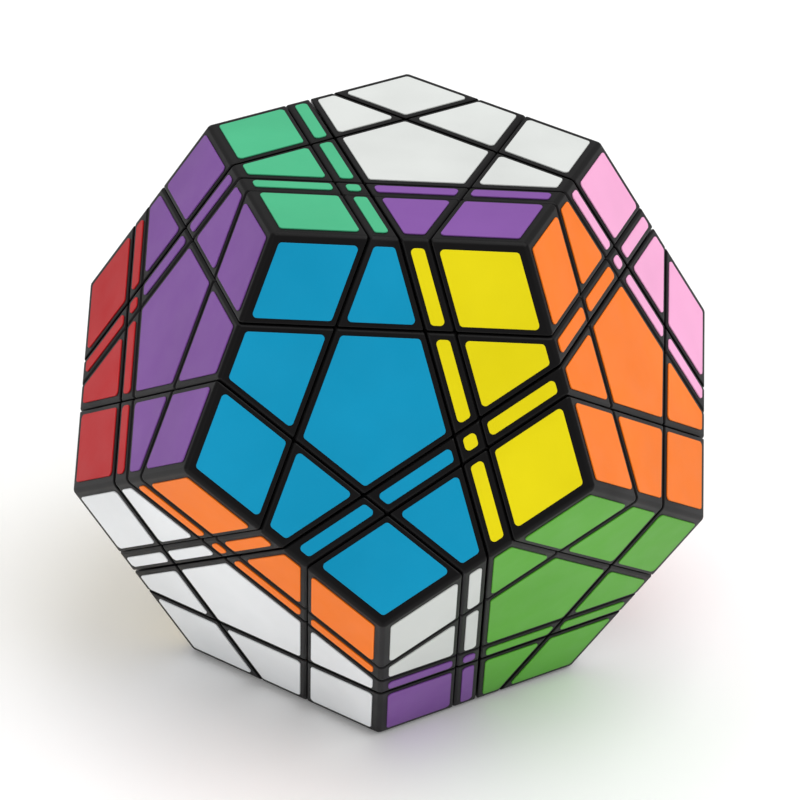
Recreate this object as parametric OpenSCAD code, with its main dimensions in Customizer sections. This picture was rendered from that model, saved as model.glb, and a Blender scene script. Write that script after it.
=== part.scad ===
// Dodecahedron twisty puzzle, resting on one face.
// Twelve face layers turn about the face axes, and four cuts through the centre let half of
// the puzzle turn about the corner axes. All cuts come from the same few numbers below.

/* [Body] */
// Length of one edge of the dodecahedron
edge = 36; // [35:0.5:39]
// Distance on a face from its edge to the face-layer cut, as a share of the edge
cut_share = 0.366; // [0.36:0.002:0.372]
// Clearance between neighbouring pieces
gap = 0.25; // [0.15:0.05:0.3]

/* [Feet] */
// Depth below the faces of the ball inside which the layers step inwards to make the feet
ball_depth = 2.6; // [2.4:0.1:2.8]
// Depth of that step
foot_step = 2.3; // [2:0.1:2.5]

/* [Stickers] */
// Thickness of the vinyl
sticker_t = 0.18; // [0.12:0.02:0.3]
// Bare plastic from a sticker to the nearest cut
sticker_inset = 0.85; // [0.5:0.05:0.95]
// Bare plastic from a sticker to an edge of the dodecahedron
sticker_edge_inset = 1.2; // [0.9:0.05:1.6]

/* [Core] */
// Radius of the ball at the middle of the core
core_r = 12; // [11:0.5:12.5]
// Radius of the four core arms
arm_r = 2.2; // [2:0.1:2.3]
// Length of a core arm from the middle of the puzzle
arm_end = 18; // [17:0.5:19]
// Radius of the shell in which the kernel blocks hook under each other
shell_r = 17.3; // [17:0.1:17.5]
// Reach of those hooks
hook = 1.4; // [1:0.1:1.5]
// Room between the core ball and the corner blocks that sit on the arms
arm_block_room = 2; // [1.6:0.1:2.4]
// Wall of those blocks between the end of the arm and the spring seat
arm_block_wall = 4.2; // [3.8:0.1:4.4]
// Length of the springs on the arms
core_spring_h = 2.6; // [2.4:0.1:2.8]

/* [Screws] */
// Radius of the screw shanks
shank_r = 1.25; // [1:0.05:1.4]
// Radius of the screw heads
head_r = 2.7; // [2.4:0.1:2.9]
// Height of the screw heads
head_h = 1.8; // [1.4:0.1:2]
// Thickness of the washers
washer_t = 0.5; // [0.3:0.1:0.6]
// Wire diameter of the springs
wire_d = 0.5; // [0.4:0.05:0.6]
// Radius of the counterbores that take the springs and heads
counterbore_r = 3.5; // [3.3:0.1:3.6]
// Height of the spring seat of a main centre above the cut under it
seat_rise = 3.2; // [3:0.1:3.4]
// Length of the springs in the main centres
spring_h = 3.4; // [3.2:0.1:3.5]
// Thickness of the caps that close the counterbores
cap_t = 1.4; // [1.2:0.1:1.5]
// Length of the screw threads in the hub blocks
thread_h = 8; // [7:0.5:8.5]

/* [Hidden] */

$fn = 48;
phi = (1 + sqrt(5)) / 2;
// Middle of the puzzle to a face, and the angle between neighbouring face axes
inradius = edge * phi * phi / (2 * sqrt(3 - phi));
face_angle = acos(1 / sqrt(5));
// Planes of the face layers outside the foot ball and inside it
layer = inradius - cut_share * edge * sin(face_angle);
foot_layer = layer - foot_step;
ball_r = inradius - ball_depth;
// Heights along a face axis: the spring seat, the washer on it, and the two ends of the screw
seat = layer + seat_rise;
washer_top = seat + washer_t;
head_base = washer_top + spring_h;
screw_tip = foot_layer - thread_h;
// The same along a core arm
block_seat = arm_end + arm_block_wall;
core_head_base = block_seat + washer_t + core_spring_h;
// Radial clearances round shanks, washers and arms, and caps
shank_fit = 0.3;
loose_fit = 0.2;
cap_fit = 0.1;
// Keeps the faces of two parts that meet from lying in one plane
slack = 0.05;
// Turns of a spring, the steps that each is drawn in, and the sides of its wire
spring_turns = 4;
turn_steps = 10;
wire_sides = 4;
// Larger than any piece
reach = 70;
// Two axes are neighbours if their product is above this
near = 0.4;
// A hub block carries the screws of the faces whose product with its own axis is above this
very_near = 0.8;

function unit(v) = v / norm(v);
// The face axes are the corners of an icosahedron, and the centre cuts cross the cube diagonals
face_axes = [
    for (s = [1, -1], t = [1, -1]) unit([s, 0, t * phi]),
    for (s = [1, -1], t = [1, -1]) unit([0, s * phi, t]),
    for (s = [1, -1], t = [1, -1]) unit([s * phi, t, 0]),
];
half_axes = [unit([1, 1, 1]), unit([1, -1, 1]), unit([1, -1, -1]), unit([1, 1, -1])];
// The corner axis that half of the puzzle turns about, and the two layers that also turn
turn_axis = 0;
front_face = 0;
base_face = 7;
faces = [0 : 11];

function beside(i, j) = i != j && face_axes[i] * face_axes[j] > near;
function beside_all(layers, j) = len([for (i = layers) if (beside(i, j)) i]) == len(layers);
function has(list, item) = len([for (i = list) if (i == item) i]) > 0;
function middle(layers, n = 0) =
    n == len(layers) ? [0, 0, 0] : face_axes[layers[n]] + middle(layers, n + 1);
// The centre cuts that cross one face, and those that cross an edge at its mid-point
function crossing(i) = [for (k = [0 : 3]) if (abs(face_axes[i] * half_axes[k]) < near) k];
function splitting(layers) = [for (k = [0 : 3]) if (abs(middle(layers) * half_axes[k]) < near) k];

// A piece is [the face layers that it belongs to, [[centre cut, side], ...]]
function centre_piece(i, flips) = [
    [i],
    [for (n = [0 : 1]) let (k = crossing(i)[n]) [k, flips[n] * sign(face_axes[i] * half_axes[k])]],
];
edges = [for (i = faces, j = faces) if (i < j && beside(i, j)) [i, j]];
corners = [
    for (e = edges, j = faces) if (j > e[1] && beside_all(e, j)) [[e[0], e[1], j], []],
];
whole_edges = [for (e = edges) if (len(splitting(e)) == 0) [e, []]];
half_edges = [
    for (e = edges) if (len(splitting(e)) > 0) for (s = [1, -1]) [e, [[splitting(e)[0], s]]],
];
main_centres = [for (i = faces) centre_piece(i, [1, 1])];
centre_strips = [for (i = faces, flips = [[1, -1], [-1, 1]]) centre_piece(i, flips)];
small_centres = [for (i = faces) centre_piece(i, [-1, -1])];
all_pieces = concat(
    corners, whole_edges, half_edges, main_centres, centre_strips, small_centres);

// Which group a piece moves with: the front layer, the base layer, or its half of the puzzle
function half_side(p) =
    let (own = [for (s = p[1]) if (s[0] == turn_axis) s[1]])
    len(own) > 0 ? own[0] : sign(middle(p[0]) * half_axes[turn_axis]);
function group(p) =
    has(p[0], front_face) ? "front" :
    has(p[0], base_face) ? "base" :
    half_side(p) > 0 ? "upper" : "lower";
function of_group(list, name) = [for (p = list) if (group(p) == name) p];

// Planes round a piece, each as [axis, from, to]
function cut_planes(p, inner, outer) = concat(
    [for (i = p[0]) [face_axes[i], inner + gap / 2, inradius]],
    [for (j = faces) if (beside_all(p[0], j)) [face_axes[j], -reach, outer - gap / 2]],
    [for (s = p[1]) [s[1] * half_axes[s[0]], gap / 2, reach]]
);
function sticker_planes(p, i) =
    let (inset = sticker_inset + gap / 2)
    concat(
        [[face_axes[i], inradius, inradius + sticker_t]],
        [for (j = p[0]) if (j != i)
            [face_axes[j], layer + inset * sin(face_angle), inradius - sticker_edge_inset]],
        [for (j = faces) if (beside_all(p[0], j))
            [face_axes[j], -reach, layer - inset * sin(face_angle)]],
        [for (s = p[1]) [s[1] * half_axes[s[0]], inset, reach]]
    );

// Places the puzzle on its base face, with the front face towards -Y
module stand() {
    translate([0, 0, inradius + sticker_t])
        rotate([0, 0, -36])
        rotate([atan(phi), 0, 0])
        children();
}

// Turns +Z to an axis
module along(axis) {
    rotate([0, acos(axis[2]), atan2(axis[1], axis[0])]) children();
}

module slab(axis, from, to) {
    along(axis) translate([-reach, -reach, from]) cube([2 * reach, 2 * reach, to - from]);
}

module cell(planes) {
    intersection_for (p = planes) slab(p[0], p[1], p[2]);
}

// One moulded piece: the outer block, its neck, and the foot inside the foot ball
module piece(p) {
    difference() {
        cell(cut_planes(p, layer, layer));
        sphere(r = ball_r + gap / 2);
    }
    cell(cut_planes(p, layer, foot_layer));
    intersection() {
        cell(cut_planes(p, foot_layer, foot_layer));
        sphere(r = ball_r - gap / 2);
    }
}

module pieces(list) {
    stand() for (p = list) piece(p);
}

module tube_space(r, from, to) {
    translate([0, 0, from]) cylinder(r = r, h = to - from);
}

// Main centres, with the hole for the screw and the counterbore for the parts above the seat
module bored_centres(list) {
    stand() for (p = list) difference() {
        piece(p);
        along(face_axes[p[0][0]]) {
            tube_space(shank_r + shank_fit, 0, reach);
            tube_space(counterbore_r, seat, reach);
        }
    }
}

module centre_caps(list) {
    stand() for (p = list) along(face_axes[p[0][0]])
        tube_space(counterbore_r - cap_fit, inradius - cap_t, inradius);
}

module stickers(name) {
    for (p = of_group(all_pieces, name), i = p[0]) stand() cell(sticker_planes(p, i));
}

module screw(tip, head) {
    tube_space(shank_r, tip, head + head_h / 2);
    difference() {
        tube_space(head_r, head, head + head_h);
        translate([0, 0, head + head_h / 2]) cylinder(r = head_r / 2, h = head_h, $fn = 6);
    }
}

module washer(from) {
    difference() {
        tube_space(counterbore_r - loose_fit, from, from + washer_t);
        tube_space(shank_r + loose_fit, from - slack, from + washer_t + slack);
    }
}

// A coil spring between two heights, as a wire swept along a helix
module spring(from, to) {
    coil_r = shank_r + shank_fit + wire_d / 2;
    steps = spring_turns * turn_steps;
    rise = to - from - wire_d - 2 * slack;
    points = [
        for (n = [0 : steps], s = [0 : wire_sides - 1])
            let (
                turn = 360 * n / turn_steps,
                side = 360 * (s + 0.5) / wire_sides,
                r = coil_r + wire_d / 2 * cos(side)
            )
            [r * cos(turn), r * sin(turn),
                from + slack + wire_d / 2 + rise * n / steps + wire_d / 2 * sin(side)]
    ];
    walls = [
        for (n = [0 : steps - 1], s = [0 : wire_sides - 1])
            let (a = n * wire_sides, t = (s + 1) % wire_sides)
            [a + s, a + s + wire_sides, a + t + wire_sides, a + t]
    ];
    first = [for (s = [0 : wire_sides - 1]) s];
    last = [for (s = [wire_sides - 1 : -1 : 0]) steps * wire_sides + s];
    polyhedron(points, concat(walls, [first], [last]), convexity = 6);
}

// The face axes whose screws sit in one half of the kernel
function pivots(side) =
    [for (i = faces) if (sign(middle([i]) * half_axes[turn_axis]) == side) face_axes[i]];

module pivot_screws(side) {
    stand() for (a = pivots(side)) along(a) screw(screw_tip, head_base);
}

module pivot_springs(side) {
    stand() for (a = pivots(side)) along(a) spring(washer_top, head_base);
}

module pivot_washers(side) {
    stand() for (a = pivots(side)) along(a) washer(seat);
}

// The kernel under the face layers: blocks round the coordinate axes carry two face screws
// each, and blocks round the cube diagonals fill the corners between them
hub_axes = [for (s = [1, -1]) each [[s, 0, 0], [0, s, 0], [0, 0, s]]];
corner_axes = [for (x = [1, -1], y = [1, -1], z = [1, -1]) unit([x, y, z])];
core_arms = [for (a = corner_axes) if (has_arm(a)) a];

function on_side(list, side) = [for (a = list) if (sign(a * half_axes[turn_axis]) == side) a];

// The core arms point at four corner blocks. Inside the shell every centre cut is shifted away
// from its arm, so hub blocks hook under the armed corner blocks and the loose corner blocks
// hook under the hub blocks. Each shifted cut is still a surface of revolution about its axis.
function kernel_planes(axis, arm_side, far_side) = concat(
    [for (t = core_arms) axis * t > 0 ?
        [t, arm_side + gap / 2, reach] : [t, -reach, far_side - gap / 2]],
    [for (f = face_axes) if (axis * f > near) [f, -reach, foot_layer - gap / 2]]
);
function has_arm(axis) = axis[0] * axis[1] * axis[2] > 0;

module block(axis) {
    difference() {
        union() {
            difference() {
                cell(kernel_planes(axis, 0, 0));
                sphere(r = shell_r + gap / 2);
            }
            cell(kernel_planes(axis, 0, -hook));
            intersection() {
                cell(kernel_planes(axis, -hook, -hook));
                sphere(r = shell_r - gap / 2);
            }
        }
        sphere(r = core_r + (has_arm(axis) ? arm_block_room : gap));
    }
}

module hub_blocks(side) {
    stand() for (a = on_side(hub_axes, side)) difference() {
        block(a);
        for (f = face_axes) if (f * a > very_near) along(f)
            tube_space(shank_r + slack, screw_tip - slack, reach);
    }
}

module corner_blocks(side) {
    stand() for (a = on_side(corner_axes, side)) difference() {
        block(a);
        if (has_arm(a)) along(a) {
            tube_space(arm_r + loose_fit, 0, arm_end + loose_fit);
            tube_space(shank_r + loose_fit, 0, reach);
            tube_space(counterbore_r, block_seat, reach);
        }
    }
}

// Colours
black_plastic = [0.07, 0.07, 0.08];
steel = [0.7, 0.7, 0.72];

module front_main_centre() { color(black_plastic) bored_centres(of_group(main_centres, "front")); }
module front_centre_strips() { color(black_plastic) pieces(of_group(centre_strips, "front")); }
module front_small_centre() { color(black_plastic) pieces(of_group(small_centres, "front")); }
module front_corners() { color(black_plastic) pieces(of_group(corners, "front")); }
module front_whole_edge() { color(black_plastic) pieces(of_group(whole_edges, "front")); }
module front_half_edges() { color(black_plastic) pieces(of_group(half_edges, "front")); }
module front_centre_cap() { color(black_plastic) centre_caps(of_group(main_centres, "front")); }
module front_stickers() { color("gold") stickers("front"); }
module base_main_centre() { color(black_plastic) bored_centres(of_group(main_centres, "base")); }
module base_centre_strips() { color(black_plastic) pieces(of_group(centre_strips, "base")); }
module base_small_centre() { color(black_plastic) pieces(of_group(small_centres, "base")); }
module base_corners() { color(black_plastic) pieces(of_group(corners, "base")); }
module base_whole_edge() { color(black_plastic) pieces(of_group(whole_edges, "base")); }
module base_half_edges() { color(black_plastic) pieces(of_group(half_edges, "base")); }
module base_centre_cap() { color(black_plastic) centre_caps(of_group(main_centres, "base")); }
module base_stickers() { color("lightgray") stickers("base"); }
module upper_main_centres() { color(black_plastic) bored_centres(of_group(main_centres, "upper")); }
module upper_centre_strips() { color(black_plastic) pieces(of_group(centre_strips, "upper")); }
module upper_small_centres() { color(black_plastic) pieces(of_group(small_centres, "upper")); }
module upper_corners() { color(black_plastic) pieces(of_group(corners, "upper")); }
module upper_whole_edges() { color(black_plastic) pieces(of_group(whole_edges, "upper")); }
module upper_half_edges() { color(black_plastic) pieces(of_group(half_edges, "upper")); }
module upper_centre_caps() { color(black_plastic) centre_caps(of_group(main_centres, "upper")); }
module upper_stickers() { color("mediumaquamarine") stickers("upper"); }
module upper_hub_blocks() { color("dimgray") hub_blocks(1); }
module upper_corner_blocks() { color("gray") corner_blocks(1); }
module upper_pivot_screws() { color(steel) pivot_screws(1); }
module upper_pivot_springs() { color(steel) pivot_springs(1); }
module upper_pivot_washers() { color(steel) pivot_washers(1); }
module lower_main_centres() { color(black_plastic) bored_centres(of_group(main_centres, "lower")); }
module lower_centre_strips() { color(black_plastic) pieces(of_group(centre_strips, "lower")); }
module lower_small_centres() { color(black_plastic) pieces(of_group(small_centres, "lower")); }
module lower_corners() { color(black_plastic) pieces(of_group(corners, "lower")); }
module lower_whole_edges() { color(black_plastic) pieces(of_group(whole_edges, "lower")); }
module lower_half_edges() { color(black_plastic) pieces(of_group(half_edges, "lower")); }
module lower_centre_caps() { color(black_plastic) centre_caps(of_group(main_centres, "lower")); }
module lower_stickers() { color("orange") stickers("lower"); }
module lower_hub_blocks() { color("dimgray") hub_blocks(-1); }
module lower_corner_blocks() { color("gray") corner_blocks(-1); }
module lower_pivot_screws() { color(steel) pivot_screws(-1); }
module lower_pivot_springs() { color(steel) pivot_springs(-1); }
module lower_pivot_washers() { color(steel) pivot_washers(-1); }

module core() {
    color("gray") stand() difference() {
        union() {
            sphere(r = core_r);
            for (a = core_arms) along(a) cylinder(r = arm_r, h = arm_end);
        }
        for (a = core_arms) along(a) tube_space(shank_r + slack, core_r - slack, reach);
    }
}

module core_screws() {
    color(steel) stand() for (a = core_arms) along(a) screw(core_r, core_head_base);
}

module core_springs() {
    color(steel) stand() for (a = core_arms) along(a)
        spring(block_seat + washer_t, core_head_base);
}

module core_washers() {
    color(steel) stand() for (a = core_arms) along(a) washer(block_seat);
}

front_main_centre();
front_centre_strips();
front_small_centre();
front_corners();
front_whole_edge();
front_half_edges();
front_centre_cap();
front_stickers();
base_main_centre();
base_centre_strips();
base_small_centre();
base_corners();
base_whole_edge();
base_half_edges();
base_centre_cap();
base_stickers();
upper_main_centres();
upper_centre_strips();
upper_small_centres();
upper_corners();
upper_whole_edges();
upper_half_edges();
upper_centre_caps();
upper_stickers();
upper_hub_blocks();
upper_corner_blocks();
upper_pivot_screws();
upper_pivot_springs();
upper_pivot_washers();
lower_main_centres();
lower_centre_strips();
lower_small_centres();
lower_corners();
lower_whole_edges();
lower_half_edges();
lower_centre_caps();
lower_stickers();
lower_hub_blocks();
lower_corner_blocks();
lower_pivot_screws();
lower_pivot_springs();
lower_pivot_washers();
core();
core_screws();
core_springs();
core_washers();
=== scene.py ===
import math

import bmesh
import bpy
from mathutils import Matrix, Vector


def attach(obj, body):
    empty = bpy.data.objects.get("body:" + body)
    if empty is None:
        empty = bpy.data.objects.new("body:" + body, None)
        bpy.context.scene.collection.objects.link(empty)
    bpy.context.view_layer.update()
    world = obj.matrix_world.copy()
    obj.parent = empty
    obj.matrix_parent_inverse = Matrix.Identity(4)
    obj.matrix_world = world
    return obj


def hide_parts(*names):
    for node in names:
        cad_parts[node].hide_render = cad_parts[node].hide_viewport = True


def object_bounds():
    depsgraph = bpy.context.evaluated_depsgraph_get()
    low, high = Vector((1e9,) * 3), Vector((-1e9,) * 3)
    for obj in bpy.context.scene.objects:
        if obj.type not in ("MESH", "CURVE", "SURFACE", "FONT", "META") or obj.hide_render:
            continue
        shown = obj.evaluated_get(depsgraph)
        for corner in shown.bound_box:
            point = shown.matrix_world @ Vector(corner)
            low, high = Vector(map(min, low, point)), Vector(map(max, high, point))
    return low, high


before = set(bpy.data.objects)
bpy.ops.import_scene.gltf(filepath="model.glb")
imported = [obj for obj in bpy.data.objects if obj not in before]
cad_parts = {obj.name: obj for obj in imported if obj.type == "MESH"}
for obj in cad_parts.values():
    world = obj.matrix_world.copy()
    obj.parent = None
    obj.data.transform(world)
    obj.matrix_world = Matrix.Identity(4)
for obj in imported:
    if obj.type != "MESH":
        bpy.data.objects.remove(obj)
cad_low, cad_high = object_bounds()

# A dodecahedron twisty puzzle: every moulded block and every sticker is rebuilt from the cut
# planes of the design, rounded, and made to ride on the layer that it turns with.
# The puzzle is worked out in its own frame in millimetres, where the centre cuts are square to
# the cube diagonals, and STAND then puts it on its base face in the CAD's frame in metres.

# ---------------------------------------------------------------- design sizes, in millimetres
EDGE = 36.0
CUT_SHARE = 0.366
GAP = 0.25
BALL_DEPTH = 2.6
FOOT_STEP = 2.3
STICKER_T = 0.18
STICKER_INSET = 0.85
STICKER_EDGE_INSET = 1.2
SHANK_R = 1.25
SHANK_FIT = 0.3
COUNTERBORE_R = 3.5
SEAT_RISE = 3.2

# Rounding of the moulded edges: along the dodecahedron's edges, along the cuts on the outside,
# and down the sides of the cuts
ROUND_OUTER = 0.6
ROUND_TOP = 0.36
ROUND_SIDE = 0.28
ROUND_STEPS = 4
# Sticker corner radius, the share of a side that a corner may take, and the rim round the top
STICKER_ROUND = 0.6
CORNER_ROOM = 0.48
CORNER_STEPS = 7
STICKER_RIM = 0.06
# Edges that turn by more than this many degrees stay sharp
BLOCK_CREASE = 32
STICKER_CREASE = 50
BALL_SIDES = 96
BORE_SIDES = 48

# The golden ratio, and the angle between the axes of two neighbouring faces
PHI = (1 + math.sqrt(5)) / 2
FACE_ANGLE = math.acos(1 / math.sqrt(5))
# Distances from the middle of the puzzle: its faces, the cuts of the face layers, the same cuts
# inside the ball, and the ball
INRADIUS = EDGE * PHI * PHI / (2 * math.sqrt(3 - PHI))
LAYER = INRADIUS - CUT_SHARE * EDGE * math.sin(FACE_ANGLE)
FOOT_LAYER = LAYER - FOOT_STEP
BALL_R = INRADIUS - BALL_DEPTH
# A distance past every piece
REACH = 70.0
# Two faces are neighbours when the dot product of their axes is above this, and a centre cut
# passes close to a direction when that of its axis and the direction is below this
NEAR = 0.4
# Slack for points on a cut, and for the tilt and the distance of a face on the dodecahedron
CUT_SLACK = 1e-5
TILT_SLACK = 1e-3
FACE_SLACK = 1e-2
MM = 0.001

SIGNS = (1, -1)
FACE_AXES = [
    *(Vector((s, 0, t * PHI)).normalized() for s in SIGNS for t in SIGNS),
    *(Vector((0, s * PHI, t)).normalized() for s in SIGNS for t in SIGNS),
    *(Vector((s * PHI, t, 0)).normalized() for s in SIGNS for t in SIGNS),
]
HALF_AXES = [Vector(v).normalized() for v in ((1, 1, 1), (1, -1, 1), (1, -1, -1), (1, 1, -1))]
FACES = range(len(FACE_AXES))
CENTRE_CUTS = range(len(HALF_AXES))
# The centre cut and the two faces that have joints
TURN_AXIS = 0
FRONT_FACE = 0
BASE_FACE = 7
# The pieces that move together are a group, which rides on one body
BODIES = {
    "front": "front_face",
    "base": "base_face",
    "upper": "upper_half",
    "lower": "lower_half",
}

# The turn about the upright, in degrees, that brings the front face to -Y
FRONT_TURN = -36
STAND = (
    Matrix.Translation((0, 0, (INRADIUS + STICKER_T) * MM))
    @ Matrix.Rotation(math.radians(FRONT_TURN), 4, "Z")
    @ Matrix.Rotation(math.atan(PHI), 4, "X")
    @ Matrix.Scale(MM, 4)
)

# ---------------------------------------------------------------- colours, linear
STICKER_COLOURS = {
    "mint": (0.062, 0.445, 0.222),
    "orange": (0.97, 0.20, 0.010),
    "red": (0.50, 0.012, 0.016),
    "green": (0.112, 0.41, 0.040),
    "navy": (0.012, 0.040, 0.22),
    "gray": (0.66, 0.68, 0.66),
    "white": (0.83, 0.85, 0.86),
    "yellow": (0.80, 0.68, 0.002),
    "blue": (0.001, 0.29, 0.51),
    "purple": (0.210, 0.078, 0.335),
    "pink": (0.93, 0.42, 0.68),
    "cream": (0.84, 0.72, 0.44),
}
# The colour of each face when the puzzle is solved, in the order of FACE_AXES
SOLVED = (
    "mint", "orange", "red", "green",
    "navy", "gray", "white", "yellow",
    "blue", "purple", "pink", "cream",
)
# The half turns that mixed it, each as (centre cut, turn in degrees) of the half on the axis side
MIXED_BY = ((0, -120), (3, -120))

OUTER_PLASTIC = (0.0036, 0.0032, 0.0034)
INNER_PLASTIC = (0.05, 0.05, 0.055)
TARNISHED_STEEL = (0.56, 0.56, 0.58)
BRIGHT_STEEL = (0.7, 0.69, 0.67)
PAPER = (0.93, 0.93, 0.93)
WHITE = (1, 1, 1)


# ---------------------------------------------------------------- the pieces of the puzzle
# A piece is (the face layers that it belongs to, ((centre cut, side), ...)).
def beside(i, j):
    """Whether two faces share an edge."""
    return i != j and FACE_AXES[i].dot(FACE_AXES[j]) > NEAR


def beside_all(layers, j):
    return all(beside(i, j) for i in layers)


def middle(layers):
    """The direction of the place that the layers share."""
    return sum((FACE_AXES[i] for i in layers), Vector())


def side_of(k, direction):
    """The side of a centre cut that a direction points to."""
    return 1 if HALF_AXES[k].dot(direction) > 0 else -1


def cuts_near(direction):
    """The centre cuts that pass close to a direction."""
    return [k for k in CENTRE_CUTS if abs(direction.dot(HALF_AXES[k])) < NEAR]


def centre_piece(i, flips):
    """A piece of the centre of face i; a flip of -1 puts it across that cut from the axis."""
    axis = FACE_AXES[i]
    return (i,), tuple((k, flip * side_of(k, axis)) for k, flip in zip(cuts_near(axis), flips))


def piece_lists():
    edges = [(i, j) for i in FACES for j in FACES if i < j and beside(i, j)]
    cuts = {edge: cuts_near(middle(edge)) for edge in edges}
    return {
        "corners": [
            ((*edge, j), ()) for edge in edges for j in FACES if j > edge[1] and beside_all(edge, j)
        ],
        "whole_edges": [(edge, ()) for edge in edges if not cuts[edge]],
        "half_edges": [
            (edge, ((cuts[edge][0], side),)) for edge in edges if cuts[edge] for side in SIGNS
        ],
        "main_centres": [centre_piece(i, (1, 1)) for i in FACES],
        "centre_strips": [
            centre_piece(i, flips) for i in FACES for flips in ((1, -1), (-1, 1))
        ],
        "small_centres": [centre_piece(i, (-1, -1)) for i in FACES],
    }


# On the front and base layers these kinds have one piece each, and the CAD names them so
SINGLE_NAMES = {
    "whole_edges": "whole_edge",
    "main_centres": "main_centre",
    "small_centres": "small_centre",
}


def group_of(piece):
    layers, sides = piece
    if FRONT_FACE in layers:
        return "front"
    if BASE_FACE in layers:
        return "base"
    own = [side for k, side in sides if k == TURN_AXIS]
    side = own[0] if own else side_of(TURN_AXIS, middle(layers))
    return "upper" if side > 0 else "lower"


def cut_planes(piece, inner, outer):
    """Planes round a piece, each as (axis, from, to).

    The piece's own layers begin at inner, and the layers that it stops short of begin at outer.
    """
    layers, sides = piece
    planes = [(FACE_AXES[i], inner + GAP / 2, INRADIUS) for i in layers]
    planes += [(FACE_AXES[j], -REACH, outer - GAP / 2) for j in FACES if beside_all(layers, j)]
    planes += [(side * HALF_AXES[k], GAP / 2, REACH) for k, side in sides]
    return planes


def sticker_planes(piece, i, extra):
    """Planes round the sticker that a piece carries on face i, drawn in by extra."""
    layers, sides = piece
    inset = STICKER_INSET + GAP / 2 + extra
    tilt = math.sin(FACE_ANGLE)
    others = [j for j in layers if j != i]
    planes = [
        (FACE_AXES[j], LAYER + inset * tilt, INRADIUS - STICKER_EDGE_INSET - extra * tilt)
        for j in others
    ]
    planes += [(FACE_AXES[j], -REACH, LAYER - inset * tilt) for j in FACES if beside_all(layers, j)]
    planes += [(side * HALF_AXES[k], inset, REACH) for k, side in sides]
    return planes


# ---------------------------------------------------------------- mesh building
def add_to_scene(obj):
    bpy.context.scene.collection.objects.link(obj)
    return obj


def mesh_from(bm, name):
    mesh = bpy.data.meshes.new(name)
    bm.to_mesh(mesh)
    bm.free()
    return mesh


def object_from(bm, name):
    return add_to_scene(bpy.data.objects.new(name, mesh_from(bm, name)))


def remove(*objects):
    for obj in objects:
        mesh = obj.data
        bpy.data.objects.remove(obj)
        bpy.data.meshes.remove(mesh)


def clip(bm, point, normal):
    """Cuts a closed convex mesh with a plane, keeps the side behind the normal and caps it."""
    geom = bm.verts[:] + bm.edges[:] + bm.faces[:]
    cut = bmesh.ops.bisect_plane(
        bm, geom=geom, dist=CUT_SLACK, plane_co=point, plane_no=normal, clear_outer=True
    )
    rim = [e for e in cut["geom_cut"] if isinstance(e, bmesh.types.BMEdge) and e.is_boundary]
    if rim:
        bmesh.ops.contextual_create(bm, geom=rim)


def convex_cell(planes):
    """The closed mesh of all that lies between the planes."""
    bm = bmesh.new()
    bmesh.ops.create_cube(bm, size=2 * REACH)
    for axis, low, high in planes:
        if high < REACH:
            clip(bm, axis * high, axis)
        if low > -REACH:
            clip(bm, axis * low, -axis)
    bmesh.ops.recalc_face_normals(bm, faces=bm.faces)
    return bm


def is_outer(face):
    """Whether a face of a cell lies on the dodecahedron."""
    return any(
        abs(face.normal.dot(axis) - 1) < TILT_SLACK
        and abs(face.calc_center_median().dot(axis) - INRADIUS) < FACE_SLACK
        for axis in FACE_AXES
    )


def weigh_edges(bm):
    """Gives each edge of a block the share of ROUND_OUTER that its bevel takes."""
    weight = bm.edges.layers.float.new("bevel_weight_edge")
    outer = {f.index: is_outer(f) for f in bm.faces}
    for e in bm.edges:
        touching = [outer[f.index] for f in e.link_faces]
        if all(touching):
            e[weight] = 1.0
        elif any(touching):
            e[weight] = ROUND_TOP / ROUND_OUTER
        elif any(outer[f.index] for v in e.verts for f in v.link_faces):
            e[weight] = ROUND_SIDE / ROUND_OUTER


def joined_cells(pieces, inner, outer, weighted=False):
    """One object that holds the cells of several pieces."""
    whole = bmesh.new()
    whole.edges.layers.float.new("bevel_weight_edge")
    part = bpy.data.meshes.new("cell")
    for piece in pieces:
        bm = convex_cell(cut_planes(piece, inner, outer))
        bm.faces.index_update()
        if weighted:
            weigh_edges(bm)
        bm.to_mesh(part)
        bm.free()
        whole.from_mesh(part)
    bpy.data.meshes.remove(part)
    return object_from(whole, "cells")


def ball(radius):
    bm = bmesh.new()
    bmesh.ops.create_uvsphere(bm, u_segments=BALL_SIDES, v_segments=BALL_SIDES // 2, radius=radius)
    return object_from(bm, "ball")


def skin(bm, rings):
    """Adds a closed tube through rings of points, with both ends capped."""
    loops = [[bm.verts.new(point) for point in ring] for ring in rings]
    for low, high in zip(loops, loops[1:]):
        for n in range(len(low)):
            m = (n + 1) % len(low)
            bm.faces.new((low[n], low[m], high[m], high[n]))
    bm.faces.new(reversed(loops[0]))
    bm.faces.new(loops[-1])


def bores(pieces):
    """The stepped holes that take the pivot screws and caps of main centres."""
    seat = LAYER + SEAT_RISE
    profile = (
        (SHANK_R + SHANK_FIT, 0), (SHANK_R + SHANK_FIT, seat),
        (COUNTERBORE_R, seat), (COUNTERBORE_R, REACH),
    )
    angles = [math.tau * n / BORE_SIDES for n in range(BORE_SIDES)]
    bm = bmesh.new()
    for (i,), _ in pieces:
        turn = Vector((0, 0, 1)).rotation_difference(FACE_AXES[i]).to_matrix().to_4x4()
        skin(bm, [
            [turn @ Vector((r * math.cos(a), r * math.sin(a), z)) for a in angles]
            for r, z in profile
        ])
    return object_from(bm, "bores")


def add_boolean(obj, operation, other):
    mod = obj.modifiers.new(operation.lower(), "BOOLEAN")
    mod.operation = operation
    mod.object = other
    mod.solver = "MANIFOLD"


def evaluated_mesh(obj, name):
    """The mesh that an object's modifiers make of it."""
    graph = bpy.context.evaluated_depsgraph_get()
    mesh = bpy.data.meshes.new_from_object(obj.evaluated_get(graph))
    mesh.name = name
    return mesh


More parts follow.
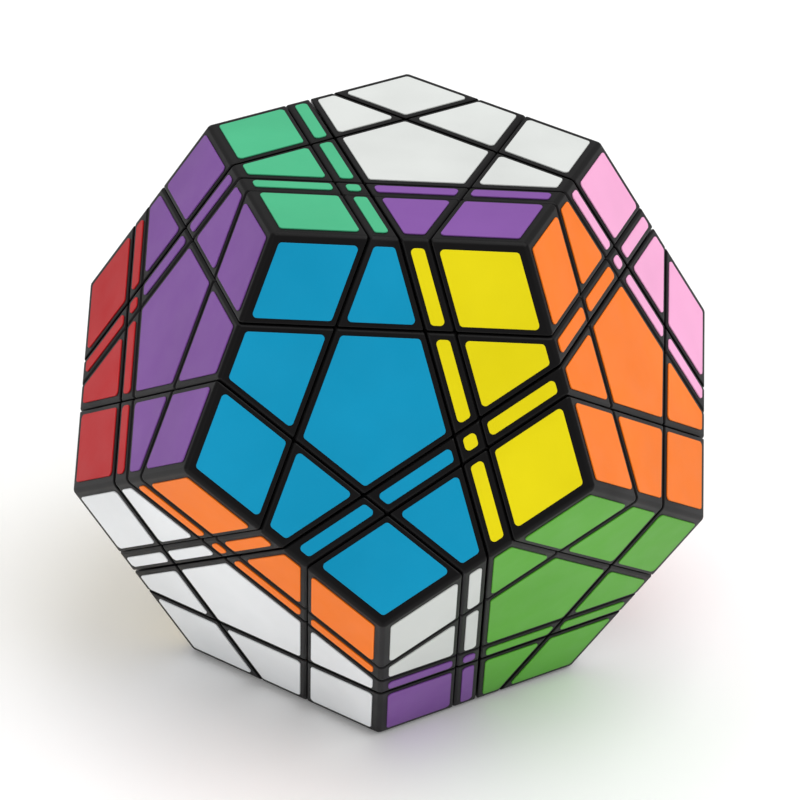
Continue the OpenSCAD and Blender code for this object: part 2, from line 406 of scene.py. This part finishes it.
def show_piece(name, mesh, material, body, node, crease):
    """Puts a mesh of the puzzle's frame on show in place of a CAD node, riding on a body."""
    mesh.polygons.foreach_set("use_smooth", [True] * len(mesh.polygons))
    mesh.set_sharp_from_angle(angle=math.radians(crease))
    mesh.transform(STAND)
    mesh.materials.clear()
    mesh.materials.append(material)
    obj = add_to_scene(bpy.data.objects.new(name, mesh))
    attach(obj, body)
    normals = obj.modifiers.new("flat_faces", "WEIGHTED_NORMAL")
    normals.keep_sharp = True
    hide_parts(node)


def make_blocks(name, pieces, material, body, bored):
    """Blocks with rounded edges, hollowed by the foot ball, with their necks and feet."""
    blocks = joined_cells(pieces, LAYER, LAYER, weighted=True)
    neck = joined_cells(pieces, LAYER, FOOT_LAYER)
    foot = joined_cells(pieces, FOOT_LAYER, FOOT_LAYER)
    outer_ball = ball(BALL_R + GAP / 2)
    inner_ball = ball(BALL_R - GAP / 2)
    add_boolean(foot, "INTERSECT", inner_ball)
    # The necks and feet stay below the rounded top of the block
    shell = ball(INRADIUS - 2 * ROUND_OUTER)
    add_boolean(neck, "INTERSECT", shell)
    bevel = blocks.modifiers.new("rounding", "BEVEL")
    bevel.limit_method = "WEIGHT"
    bevel.width = ROUND_OUTER
    bevel.segments = ROUND_STEPS
    add_boolean(blocks, "DIFFERENCE", outer_ball)
    add_boolean(blocks, "UNION", neck)
    add_boolean(blocks, "UNION", foot)
    helpers = [neck, foot, outer_ball, inner_ball, shell]
    if bored:
        helpers.append(bores(pieces))
        add_boolean(blocks, "DIFFERENCE", helpers[-1])
    mesh = evaluated_mesh(blocks, name)
    remove(blocks, *helpers)
    show_piece(name, mesh, material, body, name, BLOCK_CREASE)


# ---------------------------------------------------------------- stickers
def flat_axes(axis):
    """Two directions square to an axis and to each other."""
    across = axis.orthogonal().normalized()
    return across, axis.cross(across)


def on_face(i, flat, height=0):
    """Where a point in the flat axes of face i lies, lifted off the face by height."""
    axis = FACE_AXES[i]
    across, along_face = flat_axes(axis)
    return axis * (INRADIUS + height) + across * flat.x + along_face * flat.y


def half_plane(points, slope, limit):
    """The part of a polygon where the dot product of point and slope is at most the limit."""
    kept = []
    for a, b in zip(points, points[1:] + points[:1]):
        over_a = a.dot(slope) - limit
        over_b = b.dot(slope) - limit
        if over_a <= 0:
            kept.append(a)
        if over_a * over_b < 0:
            kept.append(a.lerp(b, over_a / (over_a - over_b)))
    return kept


def outline(piece, i, extra):
    """Corners of a sticker in the flat axes of face i, anticlockwise from outside."""
    axis = FACE_AXES[i]
    across, along_face = flat_axes(axis)
    points = [Vector((REACH * x, REACH * y)) for x, y in ((-1, -1), (1, -1), (1, 1), (-1, 1))]
    for plane, low, high in sticker_planes(piece, i, extra):
        slope = Vector((plane.dot(across), plane.dot(along_face)))
        base = plane.dot(axis) * INRADIUS
        points = half_plane(points, slope, high - base)
        points = half_plane(points, -slope, base - low)
    return points


def rounded(points, radius):
    """A polygon with its corners turned into arcs, each as wide as its two sides allow."""
    made = []
    count = len(points)
    for n in range(count):
        corner = points[n]
        back = points[n - 1] - corner
        ahead = points[(n + 1) % count] - corner
        half = back.angle(ahead) / 2
        room = CORNER_ROOM * min(back.length, ahead.length)
        r = min(radius, room * math.tan(half))
        inwards = (back.normalized() + ahead.normalized()).normalized()
        centre = corner + inwards * r / math.sin(half)
        start = corner + back.normalized() * r / math.tan(half) - centre
        sweep = math.pi - 2 * half
        for step in range(CORNER_STEPS + 1):
            turn = sweep * step / CORNER_STEPS
            made.append(centre + Matrix.Rotation(turn, 2) @ start)
    return made


def add_sticker(bm, piece, i):
    """Adds a thin plate with rounded corners and a soft rim."""
    # Each level is (how far it is drawn in, its height)
    levels = (
        (0, 0),
        (0, STICKER_T - STICKER_RIM),
        (STICKER_RIM / 3, STICKER_T - STICKER_RIM / 3),
        (STICKER_RIM, STICKER_T),
    )
    skin(bm, [
        [on_face(i, p, height) for p in rounded(outline(piece, i, extra), STICKER_ROUND - extra)]
        for extra, height in levels
    ])


def sticker_middle(piece, i):
    points = outline(piece, i, 0)
    return on_face(i, sum(points, Vector((0, 0))) / len(points))


def home_colour(point):
    """The colour of the sticker now at a point: the mixing turns are undone to find its face."""
    for k, degrees in reversed(MIXED_BY):
        if point.dot(HALF_AXES[k]) > 0:
            point = Matrix.Rotation(math.radians(-degrees), 3, HALF_AXES[k]) @ point
    home = max(FACES, key=lambda i: point.dot(FACE_AXES[i]))
    return SOLVED[home]


def make_stickers(lists, films):
    """One mesh for each colour on each layer or half that moves."""
    meshes = {}
    for piece in (p for kind in lists.values() for p in kind):
        for i in piece[0]:
            key = group_of(piece), home_colour(sticker_middle(piece, i))
            if key not in meshes:
                meshes[key] = bmesh.new()
            add_sticker(meshes[key], piece, i)
    for (group, colour), bm in meshes.items():
        name = f"{group}_stickers_{colour}"
        bmesh.ops.recalc_face_normals(bm, faces=bm.faces)
        show_piece(
            name, mesh_from(bm, name), films[colour], BODIES[group],
            f"{group}_stickers", STICKER_CREASE,
        )


# ---------------------------------------------------------------- materials
def new_material(name):
    """A material, its node tree and its shader."""
    material = bpy.data.materials.new(name)
    material.use_nodes = True
    tree = material.node_tree
    return material, tree, tree.nodes["Principled BSDF"]


def own_place(tree):
    """Where a point lies on its own object, in metres."""
    return tree.nodes.new("ShaderNodeTexCoord").outputs["Object"]


def noise(tree, place, scale, detail):
    node = tree.nodes.new("ShaderNodeTexNoise")
    node.inputs["Scale"].default_value = scale
    node.inputs["Detail"].default_value = detail
    tree.links.new(place, node.inputs["Vector"])
    return node.outputs["Fac"]


def spread(tree, source, low, high, source_low=0.3, source_high=0.7):
    """Stretches a part of a source's range, by default the middle of a noise, to a new range."""
    node = tree.nodes.new("ShaderNodeMapRange")
    node.inputs["From Min"].default_value = source_low
    node.inputs["From Max"].default_value = source_high
    node.inputs["To Min"].default_value = low
    node.inputs["To Max"].default_value = high
    tree.links.new(source, node.inputs["Value"])
    return node.outputs["Result"]


def set_colour(tree, shader, factor, first, second):
    """Mixes two colours into the base colour."""
    node = tree.nodes.new("ShaderNodeMix")
    node.data_type = "RGBA"
    node.inputs["A"].default_value = (*first, 1)
    node.inputs["B"].default_value = (*second, 1)
    tree.links.new(factor, node.inputs["Factor"])
    tree.links.new(node.outputs["Result"], shader.inputs["Base Color"])


def set_bumps(tree, shader, heights):
    """Chains bumps, each as (height output, strength, distance in metres)."""
    last = None
    for height, strength, distance in heights:
        node = tree.nodes.new("ShaderNodeBump")
        node.inputs["Strength"].default_value = strength
        node.inputs["Distance"].default_value = distance
        tree.links.new(height, node.inputs["Height"])
        if last is not None:
            tree.links.new(last, node.inputs["Normal"])
        last = node.outputs["Normal"]
    tree.links.new(last, shader.inputs["Normal"])


def shade(colour, gain, lift=0):
    """A colour made stronger by gain and paler by lift, at most white."""
    return tuple(min(1, c * gain + lift) for c in colour)


def moulded_plastic(name, colour, roughness):
    """Satin moulded plastic: fine spark grain, faint flow marks, and a highlight painted lighter
    along the edges.
    """
    material, tree, shader = new_material(name)
    place = own_place(tree)
    grain = noise(tree, place, scale=5200, detail=2)
    flow = noise(tree, place, scale=90, detail=4)
    # Painted highlight: edges found by pointiness are painted up to 2.2 times lighter, as if the
    # rounded edges caught the light.
    pointed = tree.nodes.new("ShaderNodeNewGeometry").outputs["Pointiness"]
    painted_edge_highlight = spread(tree, pointed, 0, 0.6, source_low=0.52, source_high=0.62)
    set_colour(tree, shader, painted_edge_highlight, colour, shade(colour, gain=2.2, lift=0.006))
    shader.inputs["Specular IOR Level"].default_value = 0.12
    tree.links.new(
        spread(tree, flow, roughness - 0.06, roughness + 0.08), shader.inputs["Roughness"]
    )
    set_bumps(tree, shader, ((grain, 0.25, 0.00003), (flow, 0.12, 0.00008)))
    return material


def vinyl(name, colour):
    """Coloured vinyl film: a faint orange peel, slight unevenness, and a few dull rub marks."""
    material, tree, shader = new_material(name)
    place = own_place(tree)
    cloudy = noise(tree, place, scale=55, detail=3)
    peel = noise(tree, place, scale=1300, detail=2)
    rubs = noise(tree, place, scale=210, detail=6)
    darker = shade(colour, gain=0.93)
    lighter = shade(colour, gain=1.05, lift=0.002)
    set_colour(tree, shader, spread(tree, cloudy, 0, 1), darker, lighter)
    shader.inputs["Specular IOR Level"].default_value = 0.14
    tree.links.new(spread(tree, rubs, 0.34, 0.48), shader.inputs["Roughness"])
    set_bumps(tree, shader, ((peel, 0.22, 0.00004), (cloudy, 0.1, 0.0001)))
    return material


def turned_steel(name):
    """Zinc-plated steel with fine turning marks."""
    material, tree, shader = new_material(name)
    place = own_place(tree)
    marks = noise(tree, place, scale=2600, detail=2)
    tarnish = noise(tree, place, scale=160, detail=4)
    set_colour(tree, shader, tarnish, TARNISHED_STEEL, BRIGHT_STEEL)
    shader.inputs["Metallic"].default_value = 1
    tree.links.new(spread(tree, marks, 0.24, 0.38), shader.inputs["Roughness"])
    set_bumps(tree, shader, ((marks, 0.3, 0.00003),))
    return material


# ---------------------------------------------------------------- the puzzle
def make_puzzle():
    """Blocks and stickers in place of their CAD nodes, and looks for the nodes that stay."""
    black = moulded_plastic("black_plastic_look", OUTER_PLASTIC, roughness=0.34)
    inner = moulded_plastic("inner_plastic_look", INNER_PLASTIC, roughness=0.5)
    steel = turned_steel("steel_look")
    films = {name: vinyl(f"vinyl_{name}", rgb) for name, rgb in STICKER_COLOURS.items()}
    lists = piece_lists()
    for group, body in BODIES.items():
        for kind, pieces in lists.items():
            own = [p for p in pieces if group_of(p) == group]
            single = group in ("front", "base")
            kind_name = SINGLE_NAMES.get(kind, kind) if single else kind
            bored = kind == "main_centres"
            make_blocks(f"{group}_{kind_name}", own, black, body, bored)
    make_stickers(lists, films)
    for name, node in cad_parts.items():
        look = black
        if "screw" in name or "spring" in name or "washer" in name:
            look = steel
        elif name == "core" or "blocks" in name:
            look = inner
        for holder in node.material_slots:
            holder.material = look


# ---------------------------------------------------------------- floor, light and camera
# Distances in metres, angles in degrees, the lens in millimetres
CENTRE = Vector((0, 0, (cad_low.z + cad_high.z) / 2))
CAMERA_DISTANCE = 0.6754
CAMERA_AZIMUTH = 0.15
CAMERA_ELEVATION = 29.19
CAMERA_ROLL = 2.47
CAMERA_LENS = 201.5
AIM_RIGHT = 0.00103
FLOOR_RADIUS = 4
FLOOR_SIDES = 64


def direction(azimuth, elevation):
    """A unit vector from the puzzle: azimuth 0 is towards -Y, and 90 towards +X."""
    a = math.radians(azimuth)
    e = math.radians(elevation)
    return Vector((math.sin(a) * math.cos(e), -math.cos(a) * math.cos(e), math.sin(e)))


def make_camera():
    data = bpy.data.cameras.new("camera")
    data.lens = CAMERA_LENS
    data.sensor_width = 36
    data.clip_start = 0.01
    camera = add_to_scene(bpy.data.objects.new("camera", data))
    back = direction(CAMERA_AZIMUTH, CAMERA_ELEVATION)
    camera.location = CENTRE + back * CAMERA_DISTANCE
    right = Vector((0, 0, 1)).cross(back).normalized()
    towards = CENTRE + right * AIM_RIGHT - camera.location
    level = towards.to_track_quat("-Z", "Y").to_matrix()
    roll = Matrix.Rotation(math.radians(CAMERA_ROLL), 3, "Z")
    camera.rotation_euler = (level @ roll).to_euler()
    bpy.context.scene.camera = camera


def make_floor():
    """White paper, with a little light of its own."""
    bm = bmesh.new()
    bmesh.ops.create_circle(bm, cap_ends=True, segments=FLOOR_SIDES, radius=FLOOR_RADIUS)
    floor = object_from(bm, "floor")
    material, _, shader = new_material("floor_paper")
    shader.inputs["Base Color"].default_value = (*PAPER, 1)
    shader.inputs["Emission Color"].default_value = (*WHITE, 1)
    shader.inputs["Emission Strength"].default_value = 0.08
    shader.inputs["Roughness"].default_value = 0.6
    shader.inputs["Specular IOR Level"].default_value = 0.2
    floor.data.materials.append(material)


def add_softbox(name, azimuth, elevation, distance, size, power):
    data = bpy.data.lights.new(name, "AREA")
    data.shape = "SQUARE"
    data.size = size
    data.energy = power
    lamp = add_to_scene(bpy.data.objects.new(name, data))
    away = direction(azimuth, elevation)
    lamp.location = CENTRE + away * distance
    lamp.rotation_euler = away.to_track_quat("Z", "Y").to_euler()


def make_light():
    world = bpy.data.worlds.new("studio")
    bpy.context.scene.world = world
    world.use_nodes = True
    sky = world.node_tree.nodes["Background"]
    sky.inputs["Color"].default_value = (*WHITE, 1)
    sky.inputs["Strength"].default_value = 0.5
    add_softbox("top_box", azimuth=-140, elevation=60, distance=1.1, size=0.8, power=2.3)
    add_softbox("key_box", azimuth=76, elevation=68, distance=1.2, size=1.2, power=10.4)
    add_softbox("low_fill", azimuth=-36, elevation=10, distance=1.0, size=0.5, power=1.2)
    bpy.context.scene.view_settings.view_transform = "Standard"


make_camera()
make_floor()
make_light()
make_puzzle()
